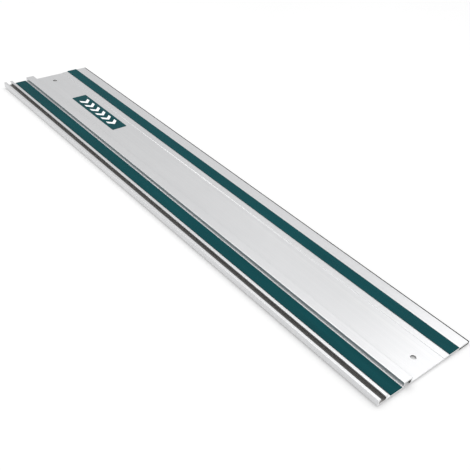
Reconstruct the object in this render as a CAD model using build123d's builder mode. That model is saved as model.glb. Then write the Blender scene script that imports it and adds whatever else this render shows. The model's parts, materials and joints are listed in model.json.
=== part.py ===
from build123d import *
import os

# Guide rail for a hand-held circular saw that runs along a track.
# Row frame, millimetres: X along the rail, Y across it from the T-slot edge (-Y) to the cutting edge (+Y), Z up.
# Origin: middle of the footprint, on the plane that the grip strips rest on.

# ---------------------------------------------------------------- driving dimensions
length = 1000.0               # rail length
width = 183.6                 # over everything: T-slot outer face to splinter guard lip
y_outer = -width / 2          # T-slot outer face
y_cut = width / 2             # outer face of the splinter guard lip

z_low = 2.0                   # lowest aluminium faces: rib lips, middle web, locator
z_seat = 3.0                  # underside of the T-slot block and of the two lands, where the strips underneath are stuck
z_land = 5.2                  # top of the two lands that carry the glide strips
z_recess = 4.2                # top of the middle web, 1 mm below the lands
z_slot_top = 12.2             # top of the upper T-slot walls
z_rib_top = 12.4              # top of the guide rib

# upper T-slot, open upwards, along the outer edge
slot_block_w = 17.3           # block width
slot_wall_outer = 2.4
slot_wall_inner = 2.5
slot_lip_outer = 4.5          # outer face to mouth
slot_mouth_w = 8.3
slot_floor_t = 2.0
slot_lip_t = 2.1

# guide rib, hollow and open downwards (lower T-slot)
rib_start = 47.4              # from the outer face
rib_w = 16.2
rib_wall = 2.0
rib_roof = 2.0
rib_mouth_w = 8.2
rib_lip_t = 2.0

# step from the recessed middle web up to the inner land
step_foot = 128.7             # from the outer face
step_head = 129.4

# cutting edge
metal_edge = 181.2            # from the outer face, where the aluminium ends
locator_start = 161.0         # small downward rib between grip strip and splinter guard
locator_w = 1.2

# glide strips
glide_t = 0.8
glide_adh_t = 0.15
glide_outer_start, glide_outer_w = 23.8, 21.3
glide_inner_start, glide_inner_w = 140.7, 20.5

# strips underneath
tape_t = 0.15
grip_w = 26.0
grip_outer_start = 19.4
grip_inner_start = 133.0
grip_end_gap = 4.0            # the grip strips stop a little short of the rail's ends
guard_t = 2.5
guard_start = 162.8
guard_lip_top = 4.9
guard_lip_gap = 0.05

# end holes
hole_d = 8.0
hole_from_end = 25.4
hole_y = 6.2

# badge
badge_l, badge_w = 152.0, 30.5
badge_x, badge_y = -309.7, 11.6
badge_t, badge_adh_t = 0.25, 0.1
badge_r = 2.0


def at(from_outer):
    """Y of a distance measured inwards from the T-slot outer face."""
    return y_outer + from_outer


def corners(sketch, points):
    """Vertices of a profile that lie on the given points."""
    return sketch.vertices().filter_by(
        lambda v: any(abs(v.X - y) < 1e-4 and abs(v.Y - z) < 1e-4 for y, z in points)
    )


os.makedirs("parts", exist_ok=True)
end_plane = Plane.YZ.offset(-length / 2)

# ---------------------------------------------------------------- rail extrusion
sy0 = at(0)
sy1 = at(slot_wall_outer)
sy2 = at(slot_lip_outer)
sy3 = at(slot_lip_outer + slot_mouth_w)
sy4 = at(slot_block_w - slot_wall_inner)
sy5 = at(slot_block_w)
slot_floor = z_seat + slot_floor_t
slot_roof = z_slot_top - slot_lip_t

ry0 = at(rib_start)
ry1 = at(rib_start + rib_wall)
ry_mid = at(rib_start + rib_w / 2)
ry2 = ry_mid - rib_mouth_w / 2
ry3 = ry_mid + rib_mouth_w / 2
ry4 = at(rib_start + rib_w - rib_wall)
ry5 = at(rib_start + rib_w)
rib_ceiling = z_rib_top - rib_roof
rib_lip_top = z_low + rib_lip_t

fy0 = at(step_foot)
fy1 = at(step_head)
under0 = at(step_foot + 1.6)
under1 = at(step_foot + 2.4)
ly0 = at(locator_start)
ly1 = at(locator_start + locator_w)
ey = at(metal_edge)

with BuildPart() as rail_extrusion:
    with BuildSketch(end_plane) as rail_profile:
        with BuildLine():
            Polyline(
                # underside, from the outer edge to the cutting edge
                (sy0, z_seat),
                (ry0, z_seat),
                (ry0, z_low),
                (ry2, z_low),
                (ry2, rib_lip_top),
                (ry1, rib_lip_top),
                (ry1, rib_ceiling),
                (ry4, rib_ceiling),
                (ry4, rib_lip_top),
                (ry3, rib_lip_top),
                (ry3, z_low),
                (under0, z_low),
                (under1, z_seat),
                (ly0, z_seat),
                (ly0, z_low),
                (ly1, z_low),
                (ly1, z_seat),
                (ey, z_seat),
                # top side, back to the outer edge
                (ey, z_land),
                (fy1, z_land),
                (fy0, z_recess),
                (ry5, z_recess),
                (ry5, z_rib_top),
                (ry0, z_rib_top),
                (ry0, z_land),
                (sy5, z_land),
                (sy5, z_slot_top),
                (sy3, z_slot_top),
                (sy3, slot_roof),
                (sy4, slot_roof),
                (sy4, slot_floor),
                (sy1, slot_floor),
                (sy1, slot_roof),
                (sy2, slot_roof),
                (sy2, z_slot_top),
                (sy0, z_slot_top),
                close=True,
            )
        make_face()
        # rib crown
        fillet(corners(rail_profile, [(ry0, z_rib_top), (ry5, z_rib_top)]), radius=0.9)
        # slot wall tops and outer foot
        fillet(
            corners(
                rail_profile,
                [(sy0, z_slot_top), (sy2, z_slot_top), (sy3, z_slot_top), (sy5, z_slot_top), (sy0, z_seat)],
            ),
            radius=0.5,
        )
        # internal roots where walls meet the plate
        fillet(corners(rail_profile, [(ry0, z_land), (sy5, z_land), (ry5, z_recess)]), radius=0.6)
        # step edges and the cutting edge
        fillet(corners(rail_profile, [(fy0, z_recess), (fy1, z_land)]), radius=0.35)
        chamfer(corners(rail_profile, [(ey, z_land)]), length=0.3)
        # corners inside the two cavities
        fillet(
            corners(
                rail_profile,
                [(sy1, slot_floor), (sy4, slot_floor), (ry1, rib_ceiling), (ry4, rib_ceiling)],
            ),
            radius=0.5,
        )
        # lip noses of the lower slot, locator feet
        chamfer(
            corners(rail_profile, [(ry2, z_low), (ry3, z_low), (ry0, z_low), (ly0, z_low), (ly1, z_low)]),
            length=0.25,
        )
    extrude(amount=length)
    # one round hole through the middle web near each end
    with Locations(
        Location((length / 2 - hole_from_end, hole_y, z_recess)),
        Location((-length / 2 + hole_from_end, hole_y, z_recess)),
    ):
        Hole(radius=hole_d / 2)
rail_extrusion.part.label = "rail_extrusion"
export_step(rail_extrusion.part, "parts/rail_extrusion.step")

# ---------------------------------------------------------------- glide strips and their adhesive films
with BuildPart() as glide_strip_outer_adhesive:
    with BuildSketch(Plane.XY.offset(z_land)):
        with Locations((0, at(glide_outer_start + glide_outer_w / 2))):
            Rectangle(length, glide_outer_w - 0.6)
    extrude(amount=glide_adh_t)
glide_strip_outer_adhesive.part.label = "glide_strip_outer_adhesive"
export_step(glide_strip_outer_adhesive.part, "parts/glide_strip_outer_adhesive.step")

with BuildPart() as glide_strip_outer:
    with BuildSketch(Plane.XY.offset(z_land + glide_adh_t)):
        with Locations((0, at(glide_outer_start + glide_outer_w / 2))):
            Rectangle(length, glide_outer_w)
    extrude(amount=glide_t)
    chamfer(glide_strip_outer.edges().filter_by(Axis.X).group_by(Axis.Z)[-1], length=0.25)
glide_strip_outer.part.label = "glide_strip_outer"
export_step(glide_strip_outer.part, "parts/glide_strip_outer.step")

with BuildPart() as glide_strip_inner_adhesive:
    with BuildSketch(Plane.XY.offset(z_land)):
        with Locations((0, at(glide_inner_start + glide_inner_w / 2))):
            Rectangle(length, glide_inner_w - 0.6)
    extrude(amount=glide_adh_t)
glide_strip_inner_adhesive.part.label = "glide_strip_inner_adhesive"
export_step(glide_strip_inner_adhesive.part, "parts/glide_strip_inner_adhesive.step")

with BuildPart() as glide_strip_inner:
    with BuildSketch(Plane.XY.offset(z_land + glide_adh_t)):
        with Locations((0, at(glide_inner_start + glide_inner_w / 2))):
            Rectangle(length, glide_inner_w)
    extrude(amount=glide_t)
    chamfer(glide_strip_inner.edges().filter_by(Axis.X).group_by(Axis.Z)[-1], length=0.25)
glide_strip_inner.part.label = "glide_strip_inner"
export_step(glide_strip_inner.part, "parts/glide_strip_inner.step")

# ---------------------------------------------------------------- splinter guard along the cutting edge
gy0 = at(guard_start)
gy1 = at(metal_edge) + guard_lip_gap
guard_top = z_seat - tape_t
guard_bottom = guard_top - guard_t

with BuildPart() as splinter_guard:
    with BuildSketch(end_plane) as guard_profile:
        with BuildLine():
            # flat base under the land, with an upstand that covers the cut edge of the metal
            Polyline(
                (gy0, guard_bottom),
                (y_cut, guard_bottom),
                (y_cut, guard_lip_top),
                (gy1, guard_lip_top),
                (gy1, guard_top),
                (gy0, guard_top),
                close=True,
            )
        make_face()
        chamfer(corners(guard_profile, [(gy0, guard_bottom)]), length=0.8)
        fillet(corners(guard_profile, [(y_cut, guard_lip_top)]), radius=0.6)
    extrude(amount=length)
splinter_guard.part.label = "splinter_guard"
export_step(splinter_guard.part, "parts/splinter_guard.step")

with BuildPart() as splinter_guard_tape:
    with BuildSketch(Plane.XY.offset(guard_top)):
        with Locations((0, (gy0 + at(metal_edge)) / 2)):
            Rectangle(length, at(metal_edge) - gy0 - 1.0)
    extrude(amount=tape_t)
splinter_guard_tape.part.label = "splinter_guard_tape"
export_step(splinter_guard_tape.part, "parts/splinter_guard_tape.step")

# ---------------------------------------------------------------- grip strips underneath, and their tapes
grip_l = length - 2 * grip_end_gap
grip_t = z_seat - tape_t

with BuildPart() as grip_strip_outer:
    with BuildSketch(Plane.XY):
        with Locations((0, at(grip_outer_start + grip_w / 2))):
            Rectangle(grip_l, grip_w)
    extrude(amount=grip_t)
    fillet(grip_strip_outer.edges().filter_by(Axis.X).group_by(Axis.Z)[0], radius=0.5)
grip_strip_outer.part.label = "grip_strip_outer"
export_step(grip_strip_outer.part, "parts/grip_strip_outer.step")

with BuildPart() as grip_strip_outer_tape:
    with BuildSketch(Plane.XY.offset(grip_t)):
        with Locations((0, at(grip_outer_start + grip_w / 2))):
            Rectangle(grip_l, grip_w - 1.0)
    extrude(amount=tape_t)
grip_strip_outer_tape.part.label = "grip_strip_outer_tape"
export_step(grip_strip_outer_tape.part, "parts/grip_strip_outer_tape.step")

with BuildPart() as grip_strip_inner:
    with BuildSketch(Plane.XY):
        with Locations((0, at(grip_inner_start + grip_w / 2))):
            Rectangle(grip_l, grip_w)
    extrude(amount=grip_t)
    fillet(grip_strip_inner.edges().filter_by(Axis.X).group_by(Axis.Z)[0], radius=0.5)
grip_strip_inner.part.label = "grip_strip_inner"
export_step(grip_strip_inner.part, "parts/grip_strip_inner.step")

with BuildPart() as grip_strip_inner_tape:
    with BuildSketch(Plane.XY.offset(grip_t)):
        with Locations((0, at(grip_inner_start + grip_w / 2))):
            Rectangle(grip_l, grip_w - 1.0)
    extrude(amount=tape_t)
grip_strip_inner_tape.part.label = "grip_strip_inner_tape"
export_step(grip_strip_inner_tape.part, "parts/grip_strip_inner_tape.step")

# ---------------------------------------------------------------- badge in the recessed middle web
with BuildPart() as badge_adhesive:
    with BuildSketch(Plane.XY.offset(z_recess)):
        with Locations((badge_x, badge_y)):
            RectangleRounded(badge_l - 0.6, badge_w - 0.6, badge_r - 0.3)
    extrude(amount=badge_adh_t)
badge_adhesive.part.label = "badge_adhesive"
export_step(badge_adhesive.part, "parts/badge_adhesive.step")

with BuildPart() as badge_label:
    with BuildSketch(Plane.XY.offset(z_recess + badge_adh_t)):
        with Locations((badge_x, badge_y)):
            RectangleRounded(badge_l, badge_w, badge_r)
    extrude(amount=badge_t)
badge_label.part.label = "badge_label"
export_step(badge_label.part, "parts/badge_label.step")
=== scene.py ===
import bpy, bmesh, json, math, random
from mathutils import Vector, Matrix
from mathutils.geometry import tessellate_polygon, delaunay_2d_cdt


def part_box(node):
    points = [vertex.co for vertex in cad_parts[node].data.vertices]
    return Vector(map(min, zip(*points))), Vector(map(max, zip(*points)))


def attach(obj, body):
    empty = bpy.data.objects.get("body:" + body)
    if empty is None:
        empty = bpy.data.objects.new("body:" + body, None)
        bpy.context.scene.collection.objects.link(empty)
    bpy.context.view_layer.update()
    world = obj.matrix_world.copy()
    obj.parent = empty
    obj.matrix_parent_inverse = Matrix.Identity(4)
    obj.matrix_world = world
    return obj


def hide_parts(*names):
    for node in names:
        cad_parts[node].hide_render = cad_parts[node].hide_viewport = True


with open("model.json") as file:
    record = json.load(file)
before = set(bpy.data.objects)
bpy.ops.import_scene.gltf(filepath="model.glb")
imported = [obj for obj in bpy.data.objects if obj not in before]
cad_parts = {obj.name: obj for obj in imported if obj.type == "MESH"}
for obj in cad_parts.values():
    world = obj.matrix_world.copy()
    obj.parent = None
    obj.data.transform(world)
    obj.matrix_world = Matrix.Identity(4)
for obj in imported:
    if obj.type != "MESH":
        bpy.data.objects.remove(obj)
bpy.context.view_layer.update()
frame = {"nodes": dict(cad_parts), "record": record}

MM = 0.001
rnd = random.Random(11)

# ------------------------------------------------------------------ places, all from the frame
RAIL0, RAIL1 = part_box("rail_extrusion")
GO0, GO1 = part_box("glide_strip_outer")
GI0, GI1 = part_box("glide_strip_inner")
SG0, SG1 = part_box("splinter_guard")
PO0, PO1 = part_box("grip_strip_outer")
PI0, PI1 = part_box("grip_strip_inner")
BL0, BL1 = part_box("badge_label")
X0, X1 = RAIL0[0], RAIL1[0]
YO = RAIL0[1]                      # T-slot outer face


def Y(u):
    """Metres in the row frame of a distance in millimetres from the T-slot outer face."""
    return YO + u * MM


# ------------------------------------------------------------------ small geometry helpers
def rounded(points, seg=5):
    """Closed outline from (y, z, radius) corners; a radius of 0 keeps the corner sharp."""
    out = []
    n = len(points)
    for i in range(n):
        p = Vector(points[i][:2]); r = points[i][2]
        a = Vector(points[i - 1][:2]); b = Vector(points[(i + 1) % n][:2])
        if r <= 0:
            out.append((p.x, p.y)); continue
        da = (a - p).normalized(); db = (b - p).normalized()
        ang = da.angle(db)
        t = r / math.tan(ang / 2)
        t = min(t, 0.49 * (a - p).length, 0.49 * (b - p).length)
        r = t * math.tan(ang / 2)
        c = p + (da + db).normalized() * (r / math.sin(ang / 2))
        s = p + da * t; e = p + db * t
        vs = s - c; ve = e - c
        total = vs.angle(ve)
        sign = 1 if (vs.x * ve.y - vs.y * ve.x) > 0 else -1
        for k in range(seg + 1):
            th = sign * total * k / seg
            out.append((c.x + vs.x * math.cos(th) - vs.y * math.sin(th), c.y + vs.x * math.sin(th) + vs.y * math.cos(th)))
    return out


def fill(pts):
    """Triangles over a closed outline, or None unless they cover exactly its area and use each outline edge once."""
    flat = [Vector((p[0] * 1000.0, p[1] * 1000.0)) for p in pts]
    n = len(flat)
    want = abs(sum(flat[i - 1].x * flat[i].y - flat[i].x * flat[i - 1].y for i in range(n))) / 2

    def good(tris):
        area = sum(abs((flat[b] - flat[a]).cross(flat[c] - flat[a])) / 2 for a, b, c in tris)
        used = {}
        for t in tris:
            for a, b in ((t[0], t[1]), (t[1], t[2]), (t[2], t[0])):
                k = (min(a, b), max(a, b)); used[k] = used.get(k, 0) + 1
        rim = all(used.get((min(k, (k + 1) % n), max(k, (k + 1) % n)), 0) == 1 for k in range(n))
        inside = all(c == 2 for (a, b), c in used.items() if b - a not in (1, n - 1))
        return abs(area - want) < 0.001 * want and rim and inside

    vo, eo, fo, ov, oe, of_ = delaunay_2d_cdt(flat, [], [list(range(n))], 1, 1e-7, True)
    back = {k: ids[0] for k, ids in enumerate(ov) if ids}
    tris = [tuple(back[k] for k in f) for f in fo if all(k in back for k in f)]
    if good(tris):
        return tris
    tris = [tuple(t) for t in tessellate_polygon([[Vector((p.x, p.y, 0.0)) for p in flat]])]
    return tris if good(tris) else None


def bevelled(loop, d, name):
    """The outline moved inwards by as much of d as it can take without crossing itself, the amount, and its triangles."""
    for part in (1.0, 0.75, 0.55, 0.4, 0.28, 0.18, 0.1, 0.05):
        small = inset(loop, d * part)
        tris = fill(small)
        if tris:
            return small, d * part, tris
    raise RuntimeError("the outline of %s crosses itself even with almost no bevel" % name)


def cap(bm, ring, tris):
    for t in tris:
        bm.faces.new([ring[k] for k in t])


def inset(loop, d):
    """The same outline moved inwards by d at every corner (counter-clockwise outline)."""
    n = len(loop); out = []
    area = sum(loop[i - 1][0] * loop[i][1] - loop[i][0] * loop[i - 1][1] for i in range(n))
    s = 1 if area > 0 else -1
    for i in range(n):
        p0 = Vector(loop[i - 1]); p = Vector(loop[i]); p1 = Vector(loop[(i + 1) % n])
        e0 = (p - p0).normalized(); e1 = (p1 - p).normalized()
        n0 = Vector((-e0.y, e0.x)) * s; n1 = Vector((-e1.y, e1.x)) * s
        m = (n0 + n1)
        if m.length < 1e-9:
            m = n0
        m.normalize()
        k = d / max(0.45, m.dot(n0))
        out.append((p.x + m.x * k, p.y + m.y * k))
    return out


def finish_mesh(ob, angle=34):
    """Faces lying in the main planes keep their own flat normals; fillets and curved walls are smooth."""
    me = ob.data
    bm = bmesh.new(); bm.from_mesh(me)
    bmesh.ops.dissolve_degenerate(bm, dist=1e-7, edges=bm.edges)
    bmesh.ops.recalc_face_normals(bm, faces=bm.faces)
    if bm.calc_volume(signed=True) < 0:
        bmesh.ops.reverse_faces(bm, faces=bm.faces)
    lim = math.radians(angle)
    for f in bm.faces:
        f.smooth = max(abs(f.normal.x), abs(f.normal.y), abs(f.normal.z)) < 0.9998 and abs(f.normal.x) < 0.3
    for e in bm.edges:
        flat = [l for l in e.link_faces if not l.smooth]
        e.smooth = not flat and not (len(e.link_faces) == 2 and e.calc_face_angle(0) > lim)
    bm.to_mesh(me); bm.free()
    return ob


def sweep(name, loop, x0, x1, stations, end_bevel=0.0002, jitter=None):
    """A prism of the outline along X, with a fine bevel round each end face."""
    small, end_bevel, tris = bevelled(loop, end_bevel, name)
    rows = [(x0, small), (x0 + end_bevel, loop)]
    rows += [(x, loop) for x in stations if x0 + 2 * end_bevel < x < x1 - 2 * end_bevel]
    rows += [(x1 - end_bevel, loop), (x1, small)]
    bm = bmesh.new()
    rings = []
    for ri, (x, lp) in enumerate(rows):
        ring = []
        for pi, (y, z) in enumerate(lp):
            if jitter and 0 < ri < len(rows) - 1:
                y, z = jitter(x, y, z, pi)
            ring.append(bm.verts.new((x, y, z)))
        rings.append(ring)
    n = len(loop)
    for a, b in zip(rings[:-1], rings[1:]):
        for i in range(n):
            j = (i + 1) % n
            bm.faces.new((a[i], a[j], b[j], b[i]))
    cap(bm, rings[0], tris)
    cap(bm, rings[-1], tris)
    bmesh.ops.recalc_face_normals(bm, faces=bm.faces)
    me = bpy.data.meshes.new(name)
    bm.to_mesh(me); bm.free()
    ob = bpy.data.objects.new(name, me)
    bpy.context.scene.collection.objects.link(ob)
    return ob


def lathe(name, profile, centre, seg=64):
    """Closed solid of revolution about Z from (radius, z) points."""
    bm = bmesh.new()
    rings = []
    for r, z in profile:
        rings.append([bm.verts.new((centre[0] + r * math.cos(2 * math.pi * k / seg), centre[1] + r * math.sin(2 * math.pi * k / seg), z)) for k in range(seg)])
    for a, b in zip(rings[:-1], rings[1:]):
        for i in range(seg):
            j = (i + 1) % seg
            bm.faces.new((a[i], a[j], b[j], b[i]))
    bm.faces.new(rings[0][::-1]); bm.faces.new(rings[-1])
    bmesh.ops.recalc_face_normals(bm, faces=bm.faces)
    me = bpy.data.meshes.new(name); bm.to_mesh(me); bm.free()
    ob = bpy.data.objects.new(name, me)
    bpy.context.scene.collection.objects.link(ob)
    return ob


def volume(ob):
    bm = bmesh.new(); bm.from_mesh(ob.data)
    v = bm.calc_volume(signed=True); bm.free()
    return v


def cut(ob, cutters, expected):
    """Subtracts the cutters one at a time; each must remove about the expected volume."""
    for c in cutters:
        before = volume(ob)
        m = ob.modifiers.new("cut", "BOOLEAN"); m.operation = "DIFFERENCE"; m.object = c; m.solver = "MANIFOLD"
        bpy.context.view_layer.update()
        dg = bpy.context.evaluated_depsgraph_get()
        me = bpy.data.meshes.new_from_object(ob.evaluated_get(dg))
        ob.modifiers.clear()
        old = ob.data; ob.data = me; bpy.data.meshes.remove(old)
        removed = before - volume(ob)
        if abs(removed - expected) > 0.06 * expected:
            raise RuntimeError("a hole was not cut: removed %.2f mm3, expected %.2f" % (removed * 1e9, expected * 1e9))
        d = c.data; bpy.data.objects.remove(c); bpy.data.meshes.remove(d)
    return ob


# ------------------------------------------------------------------ shader helpers
def material(name):
    m = bpy.data.materials.new(name)
    m.use_nodes = True
    nt = m.node_tree; nt.nodes.clear()
    out = nt.nodes.new("ShaderNodeOutputMaterial")
    b = nt.nodes.new("ShaderNodeBsdfPrincipled")
    nt.links.new(b.outputs["BSDF"], out.inputs["Surface"])
    return m, nt, b


def coords(nt, scale):
    tc = nt.nodes.new("ShaderNodeTexCoord")
    mp = nt.nodes.new("ShaderNodeMapping")
    mp.inputs["Scale"].default_value = scale
    nt.links.new(tc.outputs["Object"], mp.inputs["Vector"])
    return mp.outputs["Vector"]


def noise(nt, vec, scale, detail=3.0, rough=0.5):
    n = nt.nodes.new("ShaderNodeTexNoise")
    n.inputs["Scale"].default_value = scale
    n.inputs["Detail"].default_value = detail
    n.inputs["Roughness"].default_value = rough
    nt.links.new(vec, n.inputs["Vector"])
    return n.outputs["Fac"]


def spread(nt, fac, lo, hi, a=0.3, b=0.7):
    r = nt.nodes.new("ShaderNodeMapRange")
    r.inputs["From Min"].default_value = a; r.inputs["From Max"].default_value = b
    r.inputs["To Min"].default_value = lo; r.inputs["To Max"].default_value = hi
    nt.links.new(fac, r.inputs["Value"])
    return r.outputs["Result"]


def mix_rgb(nt, fac, c0, c1):
    m = nt.nodes.new("ShaderNodeMix"); m.data_type = "RGBA"
    if isinstance(fac, float):
        m.inputs[0].default_value = fac
    else:
        nt.links.new(fac, m.inputs[0])
    for i, c in ((6, c0), (7, c1)):
        if isinstance(c, tuple):
            m.inputs[i].default_value = (*c, 1.0)
        else:
            nt.links.new(c, m.inputs[i])
    return m.outputs[2]


def math_node(nt, op, a, b=None, clamp=False):
    m = nt.nodes.new("ShaderNodeMath"); m.operation = op; m.use_clamp = clamp
    for i, v in enumerate((a, b)):
        if v is None:
            continue
        if isinstance(v, (int, float)):
            m.inputs[i].default_value = v
        else:
            nt.links.new(v, m.inputs[i])
    return m.outputs[0]


def bump(nt, b, height, strength, distance, normal=None):
    n = nt.nodes.new("ShaderNodeBump")
    n.inputs["Strength"].default_value = strength
    n.inputs["Distance"].default_value = distance
    nt.links.new(height, n.inputs["Height"])
    if normal is not None:
        nt.links.new(normal, n.inputs["Normal"])
    nt.links.new(n.outputs["Normal"], b.inputs["Normal"])
    return n.outputs["Normal"]


# ------------------------------------------------------------------ materials
# anodised extrusion: satin silver, fine die lines along X, faint cloudy variation, tiny handling marks
alu, nt, b = material("anodised_extrusion")
lines = noise(nt, coords(nt, (1.2, 900.0, 900.0)), 1.0, 4.0, 0.62)
fine = noise(nt, coords(nt, (6.0, 4200.0, 4200.0)), 1.0, 2.0, 0.6)
cloud = noise(nt, coords(nt, (5.0, 16.0, 16.0)), 1.0, 3.0, 0.55)
scuff = noise(nt, coords(nt, (260.0, 60.0, 60.0)), 1.0, 5.0, 0.7)
tone = mix_rgb(nt, spread(nt, lines, 0.0, 1.0), (0.640, 0.645, 0.655), (0.710, 0.710, 0.715))
tone = mix_rgb(nt, spread(nt, cloud, 0.0, 0.35), tone, (0.61, 0.615, 0.625))
nt.links.new(tone, b.inputs["Base Color"])
b.inputs["Metallic"].default_value = 0.78
rg = math_node(nt, "ADD", spread(nt, fine, 0.30, 0.38), spread(nt, scuff, -0.015, 0.03, 0.45, 0.8))
nt.links.new(rg, b.inputs["Roughness"])
n1 = bump(nt, b, lines, 0.22, 0.00006)
bump(nt, b, fine, 0.16, 0.00002, n1)

# inside the T-slots, the rib cavity and the hole walls: painted shade, a dark base tone with random darker patches
# standing in for the shade in these recesses; dull, rougher metal
slot_shade_mat, nt, b = material("slot_interior_painted_shade")
g = noise(nt, coords(nt, (3.0, 700.0, 700.0)), 1.0, 4.0, 0.6)
d = noise(nt, coords(nt, (60.0, 60.0, 60.0)), 1.0, 5.0, 0.65)
# the dark base tones and the darker patches are painted shade, not the metal's own colour
col = mix_rgb(nt, spread(nt, g, 0.0, 1.0), (0.22, 0.215, 0.21), (0.34, 0.335, 0.33))
col = mix_rgb(nt, spread(nt, d, 0.0, 0.4), col, (0.17, 0.165, 0.155))
nt.links.new(col, b.inputs["Base Color"])
b.inputs["Metallic"].default_value = 0.85
nt.links.new(spread(nt, d, 0.42, 0.60), b.inputs["Roughness"])
bump(nt, b, g, 0.3, 0.00006)

# sawn and deburred end faces of the extrusion
cutm, nt, b = material("sawn_end")
arc = noise(nt, coords(nt, (40.0, 90.0, 2600.0)), 1.0, 3.0, 0.6)
nt.links.new(mix_rgb(nt, spread(nt, arc, 0.0, 1.0), (0.70, 0.70, 0.705), (0.86, 0.86, 0.865)), b.inputs["Base Color"])
b.inputs["Metallic"].default_value = 1.0
nt.links.new(spread(nt, arc, 0.22, 0.40), b.inputs["Roughness"])
bump(nt, b, arc, 0.35, 0.00005)


def teal_plastic(name, gloss_lo, gloss_hi):
    m, nt, b = material(name)
    cl = noise(nt, coords(nt, (9.0, 60.0, 60.0)), 1.0, 4.0, 0.6)
    grain = noise(nt, coords(nt, (1600.0, 1600.0, 1600.0)), 1.0, 2.0, 0.5)
    rub = noise(nt, coords(nt, (3.0, 1400.0, 1400.0)), 1.0, 3.0, 0.6)
    col = mix_rgb(nt, spread(nt, cl, 0.0, 1.0), (0.0012, 0.043, 0.050), (0.0022, 0.054, 0.062))
    col = mix_rgb(nt, spread(nt, rub, 0.0, 0.22, 0.55, 0.85), col, (0.020, 0.105, 0.115))
    nt.links.new(col, b.inputs["Base Color"])
    nt.links.new(math_node(nt, "ADD", spread(nt, cl, gloss_lo, gloss_hi), spread(nt, rub, -0.03, 0.05)), b.inputs["Roughness"])
    b.inputs["Specular IOR Level"].default_value = 0.05
    n1 = bump(nt, b, grain, 0.25, 0.00003)
    bump(nt, b, rub, 0.15, 0.00002, n1)
    return m


glide = teal_plastic("glide_plastic", 0.34, 0.46)
label = teal_plastic("label_film", 0.24, 0.32)

ink, nt, b = material("white_ink")
g = noise(nt, coords(nt, (900.0, 900.0, 900.0)), 1.0, 3.0, 0.6)
nt.links.new(mix_rgb(nt, spread(nt, g, 0.0, 1.0), (0.80, 0.81, 0.81), (0.88, 0.89, 0.89)), b.inputs["Base Color"])
nt.links.new(spread(nt, g, 0.30, 0.42), b.inputs["Roughness"])

rubber, nt, b = material("guard_rubber")
g = noise(nt, coords(nt, (700.0, 700.0, 700.0)), 1.0, 4.0, 0.6)
l = noise(nt, coords(nt, (2.0, 1500.0, 1500.0)), 1.0, 2.0, 0.5)
nt.links.new(mix_rgb(nt, spread(nt, g, 0.0, 1.0), (0.003, 0.003, 0.0033), (0.007, 0.007, 0.0074)), b.inputs["Base Color"])
b.inputs["Specular IOR Level"].default_value = 0.05
nt.links.new(spread(nt, l, 0.50, 0.66), b.inputs["Roughness"])
n1 = bump(nt, b, g, 0.3, 0.00005)
bump(nt, b, l, 0.25, 0.00004, n1)

foam, nt, b = material("grip_foam")
v = nt.nodes.new("ShaderNodeTexVoronoi"); v.feature = "F1"
v.inputs["Scale"].default_value = 1.0
nt.links.new(coords(nt, (1500.0, 1500.0, 1500.0)), v.inputs["Vector"])
g = noise(nt, coords(nt, (160.0, 160.0, 160.0)), 1.0, 5.0, 0.65)
pores = spread(nt, v.outputs["Distance"], 0.0, 1.0, 0.1, 0.55)
nt.links.new(mix_rgb(nt, pores, (0.006, 0.006, 0.006), (0.034, 0.034, 0.035)), b.inputs["Base Color"])
nt.links.new(spread(nt, g, 0.80, 0.95), b.inputs["Roughness"])
n1 = bump(nt, b, pores, 0.8, 0.00025)
bump(nt, b, g, 0.3, 0.0003, n1)

film, nt, b = material("adhesive_film")
g = noise(nt, coords(nt, (120.0, 120.0, 120.0)), 1.0, 4.0, 0.6)
nt.links.new(mix_rgb(nt, spread(nt, g, 0.0, 1.0), (0.60, 0.58, 0.50), (0.72, 0.70, 0.63)), b.inputs["Base Color"])
nt.links.new(spread(nt, g, 0.35, 0.55), b.inputs["Roughness"])
bump(nt, b, g, 0.2, 0.0001)

# ------------------------------------------------------------------ rail extrusion, true section with fine radii
zt = RAIL1[2]                       # rib top
zl = GO0[2] - 0.15 * MM             # land top: the adhesive film lies between it and the glide strip
zs = zl - 2.2 * MM                  # underside of the lands
zlow = RAIL0[2]                     # lowest metal
zw = zl - 1.0 * MM                  # recessed web
zslot = zl + 7.0 * MM               # T-slot wall tops
sf = zs + 2.0 * MM                  # T-slot floor
sr = zslot - 2.1 * MM               # T-slot roof
rc = zt - 2.0 * MM                  # rib ceiling
rl = zlow + 2.0 * MM                # tops of the rib's lips
EDGE = (RAIL1[1] - YO) / MM

sec = [
    (0.0, zs, .45), (47.4, zs, .25), (47.4, zlow, .35), (51.4, zlow, .35), (51.4, rl, .25), (49.4, rl, .4), (49.4, rc, .5),
    (61.6, rc, .5), (61.6, rl, .4), (59.6, rl, .25), (59.6, zlow, .35), (130.3, zlow, .4), (131.1, zs, .4),
    (161.0, zs, .3), (161.0, zlow, .3), (162.2, zlow, .3), (162.2, zs, .3), (EDGE, zs, .15),
    (EDGE, zl, .12), (129.4, zl, .35), (128.7, zw, .35), (63.6, zw, .6), (63.6, zt, .9), (47.4, zt, .9), (47.4, zl, .6),
    (17.3, zl, .6), (17.3, zslot, .5), (12.8, zslot, .5), (12.8, sr, .3), (14.8, sr, .3), (14.8, sf, .5), (2.4, sf, .5),
    (2.4, sr, .3), (4.5, sr, .3), (4.5, zslot, .5), (0.0, zslot, .5),
]
loop = rounded([(Y(u), z, r * MM) for u, z, r in sec], seg=6)
stations = [X0 + 8 * MM, X0 + 38 * MM] + [X0 + (X1 - X0) * k / 10 for k in range(1, 10)] + [X1 - 38 * MM, X1 - 8 * MM]
rail = sweep("rail_body", loop, X0, X1, stations, end_bevel=0.00018)
holes = []
for mnt in frame["record"]["mounts"]:
    if mnt["name"] in ("hang_hole_near", "hang_hole_far"):
        holes.append((mnt["pos_m"][0], mnt["pos_m"][1], mnt["dims"]["r_mm"] * MM))
cutters = []
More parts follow.
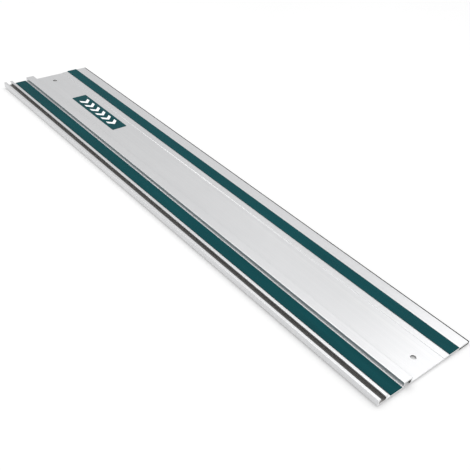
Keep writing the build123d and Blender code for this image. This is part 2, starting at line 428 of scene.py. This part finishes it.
for cx, hy, hr in holes:
    c = 0.12 * MM
    cutters.append(lathe("cutter", [(hr + c * 3, zlow - 2 * c), (hr + c, zlow), (hr, zlow + c), (hr, zw - c), (hr + c, zw), (hr + c * 3, zw + 2 * c)], (cx, hy), 72))
cut(rail, cutters, math.pi * holes[0][2] ** 2 * (zw - zlow))
rail.data.materials.clear()
rail.data.materials.append(alu); rail.data.materials.append(cutm); rail.data.materials.append(slot_shade_mat)
# the slot material (index 2) goes on the T-slot interior, the rib cavity and the hole walls: painted shade in these
# recesses
for p in rail.data.polygons:
    c = p.center; u = (c.y - YO) / MM
    if abs(p.normal.x) > 0.6 and (abs(c.x - X0) < 0.0004 or abs(c.x - X1) < 0.0004):
        p.material_index = 1
    elif 2.3 < u < 15.0 and sf - 0.0001 < c.z < sr + 0.0001:
        p.material_index = 2
    elif 49.3 < u < 61.7 and rl - 0.0001 < c.z < rc + 0.0001:
        p.material_index = 2
    elif abs(p.normal.z) < 0.5 and any(math.hypot(c.x - hx, c.y - hy) < hr * 1.05 for hx, hy, hr in holes):
        p.material_index = 2
    else:
        p.material_index = 0
finish_mesh(rail, 34)
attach(rail, "root"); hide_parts("rail_extrusion")


# ------------------------------------------------------------------ glide strips with fine ribs along them
def glide_strip(name, lo, hi, node):
    y0, y1, z0, z1 = lo[1], hi[1], lo[2], hi[2]
    r = 0.22 * MM
    pts = [(y0, z0, 0.04 * MM), (y1, z0, 0.04 * MM), (y1, z1, r)]
    n = int(round((y1 - y0 - 1.6 * MM) / (1.3 * MM)))
    pitch = (y1 - y0 - 1.6 * MM) / n
    y = y1 - 0.8 * MM
    for k in range(n):
        pts += [(y, z1, 0.0), (y - 0.16 * pitch, z1 - 0.07 * MM, 0.06 * MM), (y - 0.40 * pitch, z1 - 0.07 * MM, 0.06 * MM), (y - 0.56 * pitch, z1, 0.0)]
        y -= pitch
    pts.append((y0, z1, r))
    lp = rounded(pts, seg=3)
    ob = sweep(name, lp, lo[0], hi[0], [lo[0] + (hi[0] - lo[0]) * k / 8 for k in range(1, 8)], end_bevel=0.00012)
    ob.data.materials.append(glide)
    finish_mesh(ob, 50)
    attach(ob, "root"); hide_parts(node)
    return ob


glide_strip("glide_band_outer", GO0, GO1, "glide_strip_outer")
glide_strip("glide_band_inner", GI0, GI1, "glide_strip_inner")

# ------------------------------------------------------------------ splinter guard: base, upstand, thin cutting lip
gy0, gy1, gz0, gz1 = SG0[1], SG1[1], SG0[2], SG1[2]
gt = zs - 0.15 * MM
ge = RAIL1[1] + 0.05 * MM
guard_pts = [
    (gy0, gz0 + 0.8 * MM, 0.15 * MM), (gy0 + 0.8 * MM, gz0, 0.3 * MM),
]
yy = gy0 + 3.0 * MM
for k in range(5):                                   # shallow grip grooves in the underside
    guard_pts += [(yy, gz0, 0.1 * MM), (yy + 0.35 * MM, gz0 + 0.35 * MM, 0.15 * MM), (yy + 0.9 * MM, gz0 + 0.35 * MM, 0.15 * MM), (yy + 1.25 * MM, gz0, 0.1 * MM)]
    yy += 2.6 * MM
guard_pts += [
    (gy1, gz0, 0.12 * MM), (gy1, gz1, 0.6 * MM), (ge, gz1, 0.25 * MM), (ge, gt, 0.2 * MM), (gy0, gt, 0.15 * MM),
]
guard = sweep("splinter_lip", rounded(guard_pts, seg=5), SG0[0], SG1[0], [SG0[0] + (SG1[0] - SG0[0]) * k / 8 for k in range(1, 8)], end_bevel=0.00015)
guard.data.materials.append(rubber)
finish_mesh(guard, 45)
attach(guard, "root"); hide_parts("splinter_guard")


# ------------------------------------------------------------------ foam grip strips, with slightly uneven cut sides
def foam_strip(name, lo, hi, node, seed):
    y0, y1, z0, z1 = lo[1], hi[1], lo[2], hi[2]
    pts = [(y0, z0, 0.5 * MM)]
    n = 13
    for k in range(1, n):
        pts.append((y0 + (y1 - y0) * k / n, z0, 0.0))
    pts += [(y1, z0, 0.5 * MM), (y1, (z0 + z1) / 2, 0.0), (y1, z1, 0.1 * MM), (y0, z1, 0.1 * MM), (y0, (z0 + z1) / 2, 0.0)]
    lp = rounded(pts, seg=3)
    rr = random.Random(seed)
    ph = [(rr.uniform(0, 6.28), rr.uniform(60, 160), rr.uniform(0, 6.28), rr.uniform(300, 700)) for _ in range(len(lp))]

    def wob(x, y, z, i):
        a, f, c, g = ph[i]
        w = 0.5 + 0.3 * math.sin(a + f * x) + 0.2 * math.sin(c + g * x)
        side = 0.12 * MM * w
        if abs(y - y0) < 0.6 * MM and z < z1 - 0.05 * MM:
            y += side
        elif abs(y1 - y) < 0.6 * MM and z < z1 - 0.05 * MM:
            y -= side
        elif z < z0 + 0.2 * MM:
            z += 0.05 * MM * w
        return y, z

    st = [lo[0] + (hi[0] - lo[0]) * k / 240 for k in range(1, 240)]
    ob = sweep(name, lp, lo[0], hi[0], st, end_bevel=0.0002, jitter=wob)
    ob.data.materials.append(foam)
    finish_mesh(ob, 60)
    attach(ob, "root"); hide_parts(node)
    return ob


foam_strip("foam_band_outer", PO0, PO1, "grip_strip_outer", 3)
foam_strip("foam_band_inner", PI0, PI1, "grip_strip_inner", 5)


# ------------------------------------------------------------------ badge: label with plain white chevrons
def plate(name, outline, z0, z1, bevel):
    """A flat plate of an XY outline with a fine bevel round its top edge."""
    small, bevel, tris = bevelled(outline, bevel, name)
    base = fill(outline)
    if not base:
        raise RuntimeError("the outline of %s crosses itself" % name)
    bm = bmesh.new()
    a = [bm.verts.new((x, y, z0)) for x, y in outline]
    m = [bm.verts.new((x, y, z1 - bevel)) for x, y in outline]
    t = [bm.verts.new((x, y, z1)) for x, y in small]
    n = len(outline)
    for p, q in ((a, m), (m, t)):
        for i in range(n):
            j = (i + 1) % n
            bm.faces.new((p[i], p[j], q[j], q[i]))
    cap(bm, a, base)
    cap(bm, t, tris)
    bmesh.ops.recalc_face_normals(bm, faces=bm.faces)
    me = bpy.data.meshes.new(name); bm.to_mesh(me); bm.free()
    ob = bpy.data.objects.new(name, me)
    bpy.context.scene.collection.objects.link(ob)
    return ob


rr = 2.0 * MM
out = rounded([(BL0[0], BL0[1], rr), (BL1[0], BL0[1], rr), (BL1[0], BL1[1], rr), (BL0[0], BL1[1], rr)], seg=10)
badge = plate("badge_film", out, BL0[2], BL1[2] - 0.05 * MM, 0.04 * MM)
badge.data.materials.append(label)
finish_mesh(badge, 40)
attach(badge, "root"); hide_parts("badge_label")

bx, by = (BL0[0] + BL1[0]) / 2, (BL0[1] + BL1[1]) / 2
hh, thick, depth = 9.2 * MM, 8.0 * MM, 8.6 * MM
marks = []
for k in range(6):
    x = bx + (k - 2.5) * 20.0 * MM - (thick + depth) / 2
    pts = [(x, by - hh, .3 * MM), (x + thick, by - hh, .3 * MM), (x + thick + depth, by, .4 * MM), (x + thick, by + hh, .3 * MM), (x, by + hh, .3 * MM), (x + depth, by, .4 * MM)]
    marks.append(plate("mark", rounded(pts, seg=3), BL1[2] - 0.052 * MM, BL1[2] - 0.012 * MM, 0.012 * MM))
bm = bmesh.new()
for mk in marks:
    bm.from_mesh(mk.data)
me = bpy.data.meshes.new("badge_marks"); bm.to_mesh(me); bm.free()
for mk in marks:
    d = mk.data; bpy.data.objects.remove(mk); bpy.data.meshes.remove(d)
mark = bpy.data.objects.new("badge_marks", me)
bpy.context.scene.collection.objects.link(mark)
mark.data.materials.append(ink)
finish_mesh(mark, 40)
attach(mark, "root")

# ------------------------------------------------------------------ thin adhesive layers stay as their CAD solids
for n in ("glide_strip_outer_adhesive", "glide_strip_inner_adhesive", "splinter_guard_tape", "grip_strip_outer_tape", "grip_strip_inner_tape", "badge_adhesive"):
    o = frame["nodes"][n]
    if not o.material_slots:
        o.data.materials.append(film)
    for s in o.material_slots:
        s.material = film

# ------------------------------------------------------------------ floor
fm, nt, b = material("pale_floor")
g = noise(nt, coords(nt, (2.0, 2.0, 2.0)), 1.0, 2.0, 0.5)
nt.links.new(mix_rgb(nt, spread(nt, g, 0.0, 1.0), (0.595, 0.595, 0.595), (0.61, 0.61, 0.61)), b.inputs["Base Color"])
b.inputs["Roughness"].default_value = 0.9
b.inputs["Specular IOR Level"].default_value = 0.0
b.inputs["Emission Color"].default_value = (1.0, 1.0, 1.0, 1.0)
b.inputs["Emission Strength"].default_value = 0.22      # a faintly lit table: the contact shadow stays, but soft
bm = bmesh.new()
bmesh.ops.create_grid(bm, x_segments=8, y_segments=8, size=9.0)
me = bpy.data.meshes.new("floor"); bm.to_mesh(me); bm.free()
floor = bpy.data.objects.new("floor", me)
floor.location = (0, 0, -0.0002)
bpy.context.scene.collection.objects.link(floor)
floor.data.materials.append(fm)

# ------------------------------------------------------------------ light
sc = bpy.context.scene
w = bpy.data.worlds.new("studio"); sc.world = w
w.use_nodes = True
bg = w.node_tree.nodes.get("Background") or w.node_tree.nodes.new("ShaderNodeBackground")
bg.inputs["Color"].default_value = (1.0, 1.0, 1.0, 1.0)
bg.inputs["Strength"].default_value = 0.70


def area(name, loc, target, sx, sy, power, color=(1, 1, 1)):
    l = bpy.data.lights.new(name, "AREA")
    l.shape = "RECTANGLE"; l.size = sx; l.size_y = sy; l.energy = power; l.color = color
    o = bpy.data.objects.new(name, l)
    o.location = loc
    d = Vector(target) - Vector(loc)
    o.rotation_euler = d.to_track_quat("-Z", "Y").to_euler()
    sc.collection.objects.link(o)
    return o


area("overhead", (0.0, 0.0, 3.2), (0, 0, 0), 4.5, 4.5, 95.0)
area("softbox_back", (0.25, 1.2, 1.15), (0.5, 0.0, 0.0), 0.8, 0.8, 2.0)
area("fill_front", (0.6, -2.2, 1.0), (0, 0, 0), 2.4, 1.2, 5.0)
area("side_left", (-1.05, -1.0, 0.6), (0.0, 0.0, 0.0), 0.5, 0.5, 1.6)

# ------------------------------------------------------------------ camera
F_PX = 709.783
az, el, roll = math.radians(47.3065), math.radians(36.5379), math.radians(5.5652)
back = Vector((math.sin(az) * math.cos(el), -math.cos(az) * math.cos(el), math.sin(el)))
fwd = -back
right = fwd.cross(Vector((0, 0, 1))).normalized()
up = right.cross(fwd)
c, s = math.cos(roll), math.sin(roll)
rx = c * right + s * up            # image right
dn = s * right - c * up            # image down
cam = bpy.data.cameras.new("camera")
cam.sensor_width = 36.0; cam.sensor_height = 36.0; cam.sensor_fit = "HORIZONTAL"
cam.lens = 36.0 * F_PX / 470.0
cam.clip_start = 0.01; cam.clip_end = 60.0
cam.dof.use_dof = False
co = bpy.data.objects.new("camera", cam)
m = Matrix((( rx.x, -dn.x, back.x, 0), (rx.y, -dn.y, back.y, 0), (rx.z, -dn.z, back.z, 0), (0, 0, 0, 1)))
t = Vector((-77.2926, -76.12566, 1186.92753)) * MM
loc = -(rx * t.x + dn * t.y + fwd * t.z)
co.matrix_world = Matrix.Translation(loc) @ m
sc.collection.objects.link(co)
sc.camera = co
sc.view_settings.view_transform = "Standard"
sc.view_settings.look = "None"
sc.view_settings.exposure = 0.0
sc.view_settings.gamma = 1.0
